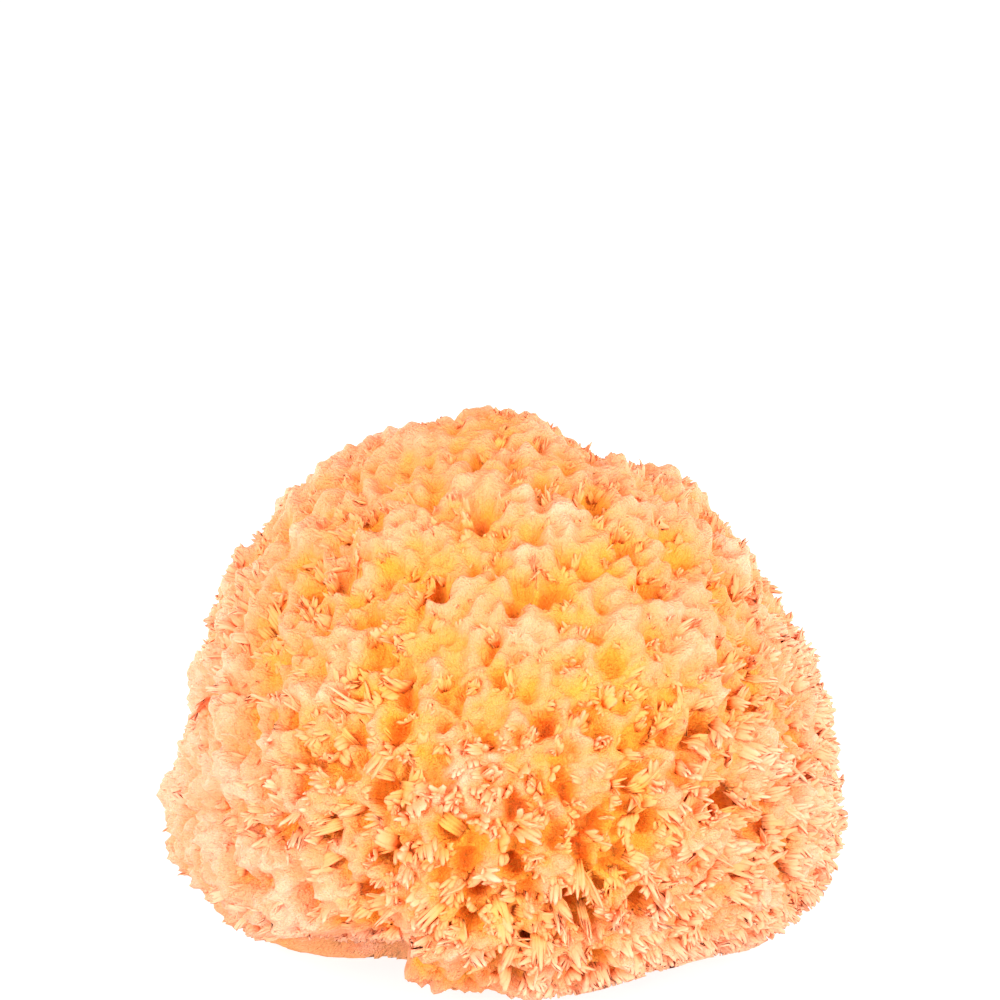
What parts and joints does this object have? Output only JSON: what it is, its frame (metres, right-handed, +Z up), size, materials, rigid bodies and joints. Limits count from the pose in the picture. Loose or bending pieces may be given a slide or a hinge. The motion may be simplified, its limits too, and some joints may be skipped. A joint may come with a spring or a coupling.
{
  "type": "sea sponge",
  "caption": "Natural sea sponge: a domed, springy mass of branching fibre tufts and deep pores, trimmed flat underneath so that it stands.",
  "frame": {"origin": "centre of the bounding box's bottom: on the trimmed flat foot, below the middle of the sponge", "axes": "+Z up from the flat foot; X is the sponge's width, its longest extent; the front, with the deepest pores, faces -Y"},
  "size_m": [0.1514, 0.1364, 0.1145],
  "materials": {
    "sponge_fibre": "dry, dull honey-orange spongin fibre, paler at the frayed tips and deep orange to brown inside the pores"
  },
  "bodies": {
    "root": {"sponge": "sponge_fibre"}
  },
  "joints": []
}
